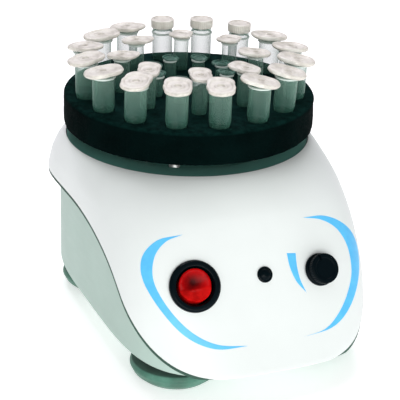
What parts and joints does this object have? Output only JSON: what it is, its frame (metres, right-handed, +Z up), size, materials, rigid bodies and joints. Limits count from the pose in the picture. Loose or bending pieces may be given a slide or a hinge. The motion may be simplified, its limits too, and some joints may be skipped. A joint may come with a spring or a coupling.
{
  "type": "vortex mixer",
  "caption": "Compact desktop vortex mixer: an orbiting round foam platform full of microtubes on a wedge-shaped housing with a rocker switch and speed knob.",
  "frame": {"origin": "centre of the bounding box at bench level", "axes": "+Z up, -Y towards the user and the front panel, +X to the right of the panel"},
  "size_m": [0.1356, 0.188, 0.1378],
  "materials": {
    "housing_grey": "satin moulded grey-green plastic",
    "housing_white": "semi-gloss moulded white plastic",
    "deck_grey": "satin dark grey-green plastic",
    "foam": "closed-cell black foam",
    "steel": "ground and zinc-plated steel",
    "cast_metal": "die-cast and plain aluminium",
    "foot_rubber": "soft matte grey-green rubber",
    "black_plastic": "glossy black moulded plastic",
    "red_plastic": "translucent glossy red moulded plastic",
    "circuit_board": "solder-masked glass-epoxy board",
    "tube_plastic": "milky translucent polypropylene"
  },
  "bodies": {
    "housing": {"base_shell": "housing_grey", "top_cover": "housing_white", "foot_front_left": "foot_rubber", "foot_front_right": "foot_rubber", "foot_rear_left": "foot_rubber", "foot_rear_right": "foot_rubber", "ballast_plate": "steel", "control_board": "circuit_board", "power_jack": "black_plastic", "deck_plate": "deck_grey", "motor_bracket": "cast_metal", "motor_body": "cast_metal", "main_bearing": "steel", "switch_body": "black_plastic", "speed_pot": "cast_metal", "indicator_lens": "black_plastic"},
    "crank": {"crank_shaft": "steel", "counterweight": "steel"},
    "platform": {"platform_carrier": "cast_metal", "eccentric_bearing": "steel", "platform_foam": "foam", "platform_screw": "steel"},
    "idler_1": {"idler_pin_1": "steel"},
    "idler_2": {"idler_pin_2": "steel"},
    "idler_3": {"idler_pin_3": "steel"},
    "knob": {"speed_knob": "black_plastic", "pot_shaft": "steel"},
    "rocker": {"switch_rocker": "red_plastic"},
    "tube_large_01": {"tube_large_01": "tube_plastic"},
    "tube_large_02": {"tube_large_02": "tube_plastic"},
    "tube_large_03": {"tube_large_03": "tube_plastic"},
    "tube_large_04": {"tube_large_04": "tube_plastic"},
    "tube_large_05": {"tube_large_05": "tube_plastic"},
    "tube_large_06": {"tube_large_06": "tube_plastic"},
    "tube_large_07": {"tube_large_07": "tube_plastic"},
    "tube_large_08": {"tube_large_08": "tube_plastic"},
    "tube_large_09": {"tube_large_09": "tube_plastic"},
    "tube_large_10": {"tube_large_10": "tube_plastic"},
    "tube_large_11": {"tube_large_11": "tube_plastic"},
    "tube_large_12": {"tube_large_12": "tube_plastic"},
    "tube_large_13": {"tube_large_13": "tube_plastic"},
    "tube_large_14": {"tube_large_14": "tube_plastic"},
    "tube_large_15": {"tube_large_15": "tube_plastic"},
    "tube_large_16": {"tube_large_16": "tube_plastic"},
    "tube_medium_01": {"tube_medium_01": "tube_plastic"},
    "tube_medium_02": {"tube_medium_02": "tube_plastic"},
    "tube_medium_03": {"tube_medium_03": "tube_plastic"},
    "tube_medium_04": {"tube_medium_04": "tube_plastic"},
    "tube_medium_05": {"tube_medium_05": "tube_plastic"},
    "tube_medium_06": {"tube_medium_06": "tube_plastic"},
    "tube_medium_07": {"tube_medium_07": "tube_plastic"},
    "tube_medium_08": {"tube_medium_08": "tube_plastic"},
    "tube_small_01": {"tube_small_01": "tube_plastic"},
    "tube_small_02": {"tube_small_02": "tube_plastic"},
    "tube_small_03": {"tube_small_03": "tube_plastic"},
    "tube_small_04": {"tube_small_04": "tube_plastic"},
    "tube_small_05": {"tube_small_05": "tube_plastic"},
    "tube_small_06": {"tube_small_06": "tube_plastic"},
    "tube_small_07": {"tube_small_07": "tube_plastic"},
    "tube_small_08": {"tube_small_08": "tube_plastic"}
  },
  "joints": [
    {"name": "motor_spin", "type": "hinge", "parent": "housing", "child": "crank", "pos_m": [0, 0.028, 0.06], "axis": [0, 0, 1], "continuous": true},
    {"name": "platform_orbit", "type": "hinge", "parent": "crank", "child": "platform", "pos_m": [0, 0.027, 0.09], "axis": [0, 0, 1], "continuous": true},
    {"name": "idler_1_spin", "type": "hinge", "parent": "housing", "child": "idler_1", "pos_m": [0, 0.063, 0.09], "axis": [0, 0, 1], "continuous": true},
    {"name": "idler_2_spin", "type": "hinge", "parent": "housing", "child": "idler_2", "pos_m": [-0.03031, 0.0105, 0.09], "axis": [0, 0, 1], "continuous": true},
    {"name": "idler_3_spin", "type": "hinge", "parent": "housing", "child": "idler_3", "pos_m": [0.03031, 0.0105, 0.09], "axis": [0, 0, 1], "continuous": true},
    {"name": "knob_turn", "type": "hinge", "parent": "housing", "child": "knob", "pos_m": [0.0306, -0.07023, 0.0514], "axis": [-0.0779, 0.8561, -0.5109], "range_deg": [0, 300]},
    {"name": "rocker_tip", "type": "hinge", "parent": "housing", "child": "rocker", "pos_m": [-0.03422, -0.06789, 0.05173], "axis": [0.9932, -0.1, 0.0602], "range_deg": [0, 14]},
    {"name": "tube_large_01_lift", "type": "slide", "parent": "platform", "child": "tube_large_01", "axis": [0, 0, 1], "range_m": [0, 0.02]},
    {"name": "tube_large_02_lift", "type": "slide", "parent": "platform", "child": "tube_large_02", "axis": [0, 0, 1], "range_m": [0, 0.02]},
    {"name": "tube_large_03_lift", "type": "slide", "parent": "platform", "child": "tube_large_03", "axis": [0, 0, 1], "range_m": [0, 0.02]},
    {"name": "tube_large_04_lift", "type": "slide", "parent": "platform", "child": "tube_large_04", "axis": [0, 0, 1], "range_m": [0, 0.02]},
    {"name": "tube_large_05_lift", "type": "slide", "parent": "platform", "child": "tube_large_05", "axis": [0, 0, 1], "range_m": [0, 0.02]},
    {"name": "tube_large_06_lift", "type": "slide", "parent": "platform", "child": "tube_large_06", "axis": [0, 0, 1], "range_m": [0, 0.02]},
    {"name": "tube_large_07_lift", "type": "slide", "parent": "platform", "child": "tube_large_07", "axis": [0, 0, 1], "range_m": [0, 0.02]},
    {"name": "tube_large_08_lift", "type": "slide", "parent": "platform", "child": "tube_large_08", "axis": [0, 0, 1], "range_m": [0, 0.02]},
    {"name": "tube_large_09_lift", "type": "slide", "parent": "platform", "child": "tube_large_09", "axis": [0, 0, 1], "range_m": [0, 0.02]},
    {"name": "tube_large_10_lift", "type": "slide", "parent": "platform", "child": "tube_large_10", "axis": [0, 0, 1], "range_m": [0, 0.02]},
    {"name": "tube_large_11_lift", "type": "slide", "parent": "platform", "child": "tube_large_11", "axis": [0, 0, 1], "range_m": [0, 0.02]},
    {"name": "tube_large_12_lift", "type": "slide", "parent": "platform", "child": "tube_large_12", "axis": [0, 0, 1], "range_m": [0, 0.02]},
    {"name": "tube_large_13_lift", "type": "slide", "parent": "platform", "child": "tube_large_13", "axis": [0, 0, 1], "range_m": [0, 0.02]},
    {"name": "tube_large_14_lift", "type": "slide", "parent": "platform", "child": "tube_large_14", "axis": [0, 0, 1], "range_m": [0, 0.02]},
    {"name": "tube_large_15_lift", "type": "slide", "parent": "platform", "child": "tube_large_15", "axis": [0, 0, 1], "range_m": [0, 0.02]},
    {"name": "tube_large_16_lift", "type": "slide", "parent": "platform", "child": "tube_large_16", "axis": [0, 0, 1], "range_m": [0, 0.02]},
    {"name": "tube_medium_01_lift", "type": "slide", "parent": "platform", "child": "tube_medium_01", "axis": [0, 0, 1], "range_m": [0, 0.016]},
    {"name": "tube_medium_02_lift", "type": "slide", "parent": "platform", "child": "tube_medium_02", "axis": [0, 0, 1], "range_m": [0, 0.016]},
    {"name": "tube_medium_03_lift", "type": "slide", "parent": "platform", "child": "tube_medium_03", "axis": [0, 0, 1], "range_m": [0, 0.016]},
    {"name": "tube_medium_04_lift", "type": "slide", "parent": "platform", "child": "tube_medium_04", "axis": [0, 0, 1], "range_m": [0, 0.016]},
    {"name": "tube_medium_05_lift", "type": "slide", "parent": "platform", "child": "tube_medium_05", "axis": [0, 0, 1], "range_m": [0, 0.016]},
    {"name": "tube_medium_06_lift", "type": "slide", "parent": "platform", "child": "tube_medium_06", "axis": [0, 0, 1], "range_m": [0, 0.016]},
    {"name": "tube_medium_07_lift", "type": "slide", "parent": "platform", "child": "tube_medium_07", "axis": [0, 0, 1], "range_m": [0, 0.016]},
    {"name": "tube_medium_08_lift", "type": "slide", "parent": "platform", "child": "tube_medium_08", "axis": [0, 0, 1], "range_m": [0, 0.016]},
    {"name": "tube_small_01_lift", "type": "slide", "parent": "platform", "child": "tube_small_01", "axis": [0, 0, 1], "range_m": [0, 0.014]},
    {"name": "tube_small_02_lift", "type": "slide", "parent": "platform", "child": "tube_small_02", "axis": [0, 0, 1], "range_m": [0, 0.014]},
    {"name": "tube_small_03_lift", "type": "slide", "parent": "platform", "child": "tube_small_03", "axis": [0, 0, 1], "range_m": [0, 0.014]},
    {"name": "tube_small_04_lift", "type": "slide", "parent": "platform", "child": "tube_small_04", "axis": [0, 0, 1], "range_m": [0, 0.014]},
    {"name": "tube_small_05_lift", "type": "slide", "parent": "platform", "child": "tube_small_05", "axis": [0, 0, 1], "range_m": [0, 0.014]},
    {"name": "tube_small_06_lift", "type": "slide", "parent": "platform", "child": "tube_small_06", "axis": [0, 0, 1], "range_m": [0, 0.014]},
    {"name": "tube_small_07_lift", "type": "slide", "parent": "platform", "child": "tube_small_07", "axis": [0, 0, 1], "range_m": [0, 0.014]},
    {"name": "tube_small_08_lift", "type": "slide", "parent": "platform", "child": "tube_small_08", "axis": [0, 0, 1], "range_m": [0, 0.014]}
  ],
  "couplings": [
    {"joint": "platform_orbit", "follows": "motor_spin", "ratio": -1},
    {"joint": "idler_1_spin", "follows": "motor_spin", "ratio": 1},
    {"joint": "idler_2_spin", "follows": "motor_spin", "ratio": 1},
    {"joint": "idler_3_spin", "follows": "motor_spin", "ratio": 1}
  ]
}
